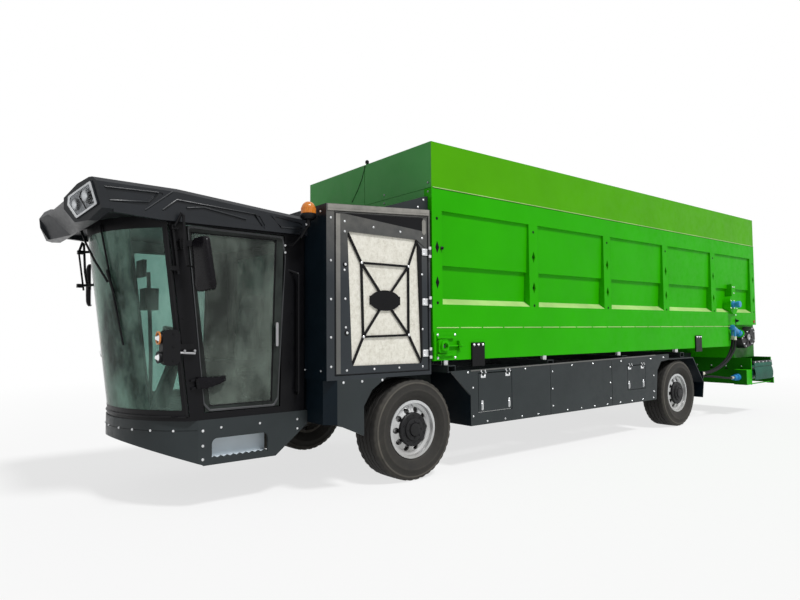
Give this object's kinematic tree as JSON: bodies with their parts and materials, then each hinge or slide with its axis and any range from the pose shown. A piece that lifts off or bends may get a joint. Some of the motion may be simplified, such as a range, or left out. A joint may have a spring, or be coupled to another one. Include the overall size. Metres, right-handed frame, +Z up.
{
  "type": "self-propelled feed mixer wagon",
  "caption": "Self-propelled feed mixer wagon with front cab, engine module, long open hopper with chain floor and beater, and a rear cross conveyor.",
  "frame": {"origin": "on the ground under the middle of the wagon's box", "axes": "+X to the wagon's left, -Y forwards, +Z up"},
  "size_m": [3.12, 11.9348, 3.6748],
  "materials": {
    "green_paint": "satin",
    "chassis_paint": "satin",
    "axle_paint": "matte",
    "black_frame": "satin",
    "black_plastic": "satin",
    "cab_glass": "polished",
    "lamp_lens": "polished",
    "red_lens": "gloss",
    "amber_lens": "gloss",
    "tyre": "matte",
    "wheel_paint": "satin",
    "blue_paint": "gloss",
    "cast": "rough",
    "steel": "satin",
    "belt": "matte",
    "hose": "matte",
    "seat_fabric": "matte",
    "step_grating": "satin"
  },
  "bodies": {
    "wagon": {"chassis_frame": "chassis_paint", "outriggers": "chassis_paint", "side_tanks": "chassis_paint", "supply_hose": "hose", "return_hose": "hose", "conveyor_hose": "hose", "load_cells": "steel", "front_axle": "axle_paint", "rear_axle": "axle_paint", "leaf_springs": "axle_paint", "hopper_side_left": "green_paint", "hopper_side_right": "green_paint", "hopper_extension": "green_paint", "hopper_front_wall": "green_paint", "hopper_floor": "steel", "floor_chain": "steel", "chain_shafts": "steel", "tension_plates": "green_paint", "rear_chute": "green_paint", "chain_gearbox": "cast", "hydraulic_motors": "blue_paint", "conveyor_frame": "green_paint", "conveyor_belt": "belt", "engine_housing": "chassis_paint", "engine_block": "cast", "deck_hood": "chassis_paint", "hinge_pins": "steel", "front_skirts": "chassis_paint", "side_skirts": "chassis_paint", "body_guides": "black_frame", "cab_frame": "black_frame", "cab_glass": "cab_glass", "cab_skirt": "chassis_paint", "cab_step": "step_grating", "cab_roof": "black_plastic", "roof_lamps": "lamp_lens", "seat": "seat_fabric", "steering_column": "black_plastic", "mirrors": "black_plastic", "work_lamps": "black_plastic", "beacon": "amber_lens", "tail_lamps": "red_lens"},
    "knuckle_left": {"knuckle_left": "axle_paint"},
    "knuckle_right": {"knuckle_right": "axle_paint"},
    "tie_rod": {"tie_rod": "axle_paint"},
    "wheel_front_left": {"tyre_front_left": "tyre", "wheel_front_left": "wheel_paint"},
    "wheel_front_right": {"tyre_front_right": "tyre", "wheel_front_right": "wheel_paint"},
    "wheel_rear_left": {"tyre_rear_left": "tyre", "wheel_rear_left": "wheel_paint"},
    "wheel_rear_right": {"tyre_rear_right": "tyre", "wheel_rear_right": "wheel_paint"},
    "cab_door": {"cab_door": "black_frame", "cab_door_glass": "cab_glass"},
    "engine_door_left": {"engine_door_left": "chassis_paint"},
    "engine_door_right": {"engine_door_right": "chassis_paint"},
    "service_flap_front": {"service_flap_front": "chassis_paint"},
    "service_flap_rear": {"service_flap_rear": "chassis_paint"},
    "beater": {"beater": "green_paint"}
  },
  "joints": [
    {"name": "steer_left", "type": "hinge", "parent": "wagon", "child": "knuckle_left", "pos_m": [0.86, -2.7325, 0.536], "axis": [0, 0, 1], "range_deg": [-32, 32]},
    {"name": "steer_right", "type": "hinge", "parent": "wagon", "child": "knuckle_right", "pos_m": [-0.86, -2.7325, 0.536], "axis": [0, 0, 1], "range_deg": [-32, 32]},
    {"name": "tie_rod_pivot", "type": "hinge", "parent": "knuckle_left", "child": "tie_rod", "pos_m": [0.86, -2.5025, 0.37], "axis": [0, 0, 1], "range_deg": [-32, 32]},
    {"name": "spin_front_left", "type": "hinge", "parent": "knuckle_left", "child": "wheel_front_left", "pos_m": [1.102, -2.7325, 0.536], "axis": [1, 0, 0], "continuous": true},
    {"name": "spin_front_right", "type": "hinge", "parent": "knuckle_right", "child": "wheel_front_right", "pos_m": [-1.102, -2.7325, 0.536], "axis": [1, 0, 0], "continuous": true},
    {"name": "spin_rear_left", "type": "hinge", "parent": "wagon", "child": "wheel_rear_left", "pos_m": [1.102, 2.8825, 0.536], "axis": [1, 0, 0], "continuous": true},
    {"name": "spin_rear_right", "type": "hinge", "parent": "wagon", "child": "wheel_rear_right", "pos_m": [-1.102, 2.8825, 0.536], "axis": [1, 0, 0], "continuous": true},
    {"name": "cab_door_hinge", "type": "hinge", "parent": "wagon", "child": "cab_door", "pos_m": [0.925, -4.9375, 1.128], "axis": [0, 0.1288, -0.9917], "range_deg": [0, 60]},
    {"name": "engine_door_left_hinge", "type": "hinge", "parent": "wagon", "child": "engine_door_left", "pos_m": [1.323, -2.5385, 2], "axis": [0, 0, 1], "range_deg": [0, 110]},
    {"name": "engine_door_right_hinge", "type": "hinge", "parent": "wagon", "child": "engine_door_right", "pos_m": [-1.323, -2.5385, 2], "axis": [0, 0, -1], "range_deg": [0, 110]},
    {"name": "service_flap_front_hinge", "type": "hinge", "parent": "wagon", "child": "service_flap_front", "pos_m": [1.315, -1.505, 1.09], "axis": [0, -1, 0], "range_deg": [0, 90]},
    {"name": "service_flap_rear_hinge", "type": "hinge", "parent": "wagon", "child": "service_flap_rear", "pos_m": [1.315, 1.5775, 1.045], "axis": [0, -1, 0], "range_deg": [0, 90]},
    {"name": "beater_spin", "type": "hinge", "parent": "wagon", "child": "beater", "pos_m": [0, 4.7675, 2.01], "axis": [1, 0, 0], "continuous": true}
  ],
  "couplings": [
    {"joint": "steer_right", "follows": "steer_left", "ratio": 1},
    {"joint": "tie_rod_pivot", "follows": "steer_left", "ratio": -1}
  ]
}
